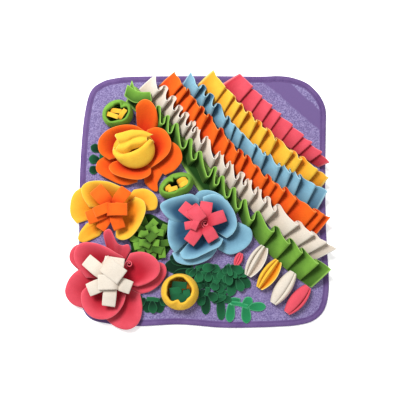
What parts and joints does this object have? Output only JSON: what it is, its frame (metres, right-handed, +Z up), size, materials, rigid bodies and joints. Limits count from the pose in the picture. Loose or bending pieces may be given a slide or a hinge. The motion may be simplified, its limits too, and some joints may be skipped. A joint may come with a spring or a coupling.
{
  "type": "snuffle mat",
  "caption": "Square snuffle mat for a dog: bound fleece base with diagonal pleated felt rows, felt flowers, cups, leaves and folded petals.",
  "frame": {"origin": "centre of the base's underside, on the floor", "axes": "+Z up out of the mat, +Y towards the edge with the orange flower and the rows' upper ends, +X towards the pleated rows"},
  "size_m": [0.4806, 0.4588, 0.0421],
  "materials": {
    "lavender_fleece": "matte",
    "purple_binding": "matte",
    "coral_felt": "matte",
    "yellow_felt": "matte",
    "blue_felt": "matte",
    "orange_felt": "matte",
    "cream_felt": "matte",
    "light_green_felt": "matte",
    "dark_green_felt": "matte",
    "bright_green_felt": "matte"
  },
  "bodies": {
    "root": {"mat_base": "lavender_fleece", "mat_binding": "purple_binding", "ruffle_coral": "coral_felt", "ruffle_yellow": "yellow_felt", "ruffle_blue": "blue_felt", "ruffle_orange": "orange_felt", "ruffle_cream": "cream_felt", "ruffle_green": "light_green_felt", "flower_orange_outer": "orange_felt", "flower_orange_inner": "orange_felt", "flower_orange_bud": "yellow_felt", "flower_yellow_outer": "yellow_felt", "flower_yellow_inner": "yellow_felt", "flower_yellow_tabs": "orange_felt", "flower_coral_outer": "coral_felt", "flower_coral_inner": "coral_felt", "flower_coral_tabs": "cream_felt", "flower_blue_outer": "blue_felt", "flower_blue_inner": "blue_felt", "flower_blue_tabs": "coral_felt", "cup_green_top": "light_green_felt", "cup_green_top_strips": "yellow_felt", "cup_green_mid": "light_green_felt", "cup_green_mid_strips": "yellow_felt", "cup_yellow": "yellow_felt", "cup_yellow_strips": "dark_green_felt", "tuft_green": "light_green_felt", "leaf_fan": "dark_green_felt", "leaf_pair": "dark_green_felt", "leaf_wrap": "dark_green_felt", "leaf_right": "dark_green_felt", "sprig_bright": "bright_green_felt", "sprig_low": "dark_green_felt", "sprig_left": "dark_green_felt", "fold_cream_upper": "cream_felt", "fold_yellow": "yellow_felt", "fold_cream_lower": "cream_felt", "fold_coral": "coral_felt", "fold_coral_small": "coral_felt"}
  },
  "joints": []
}
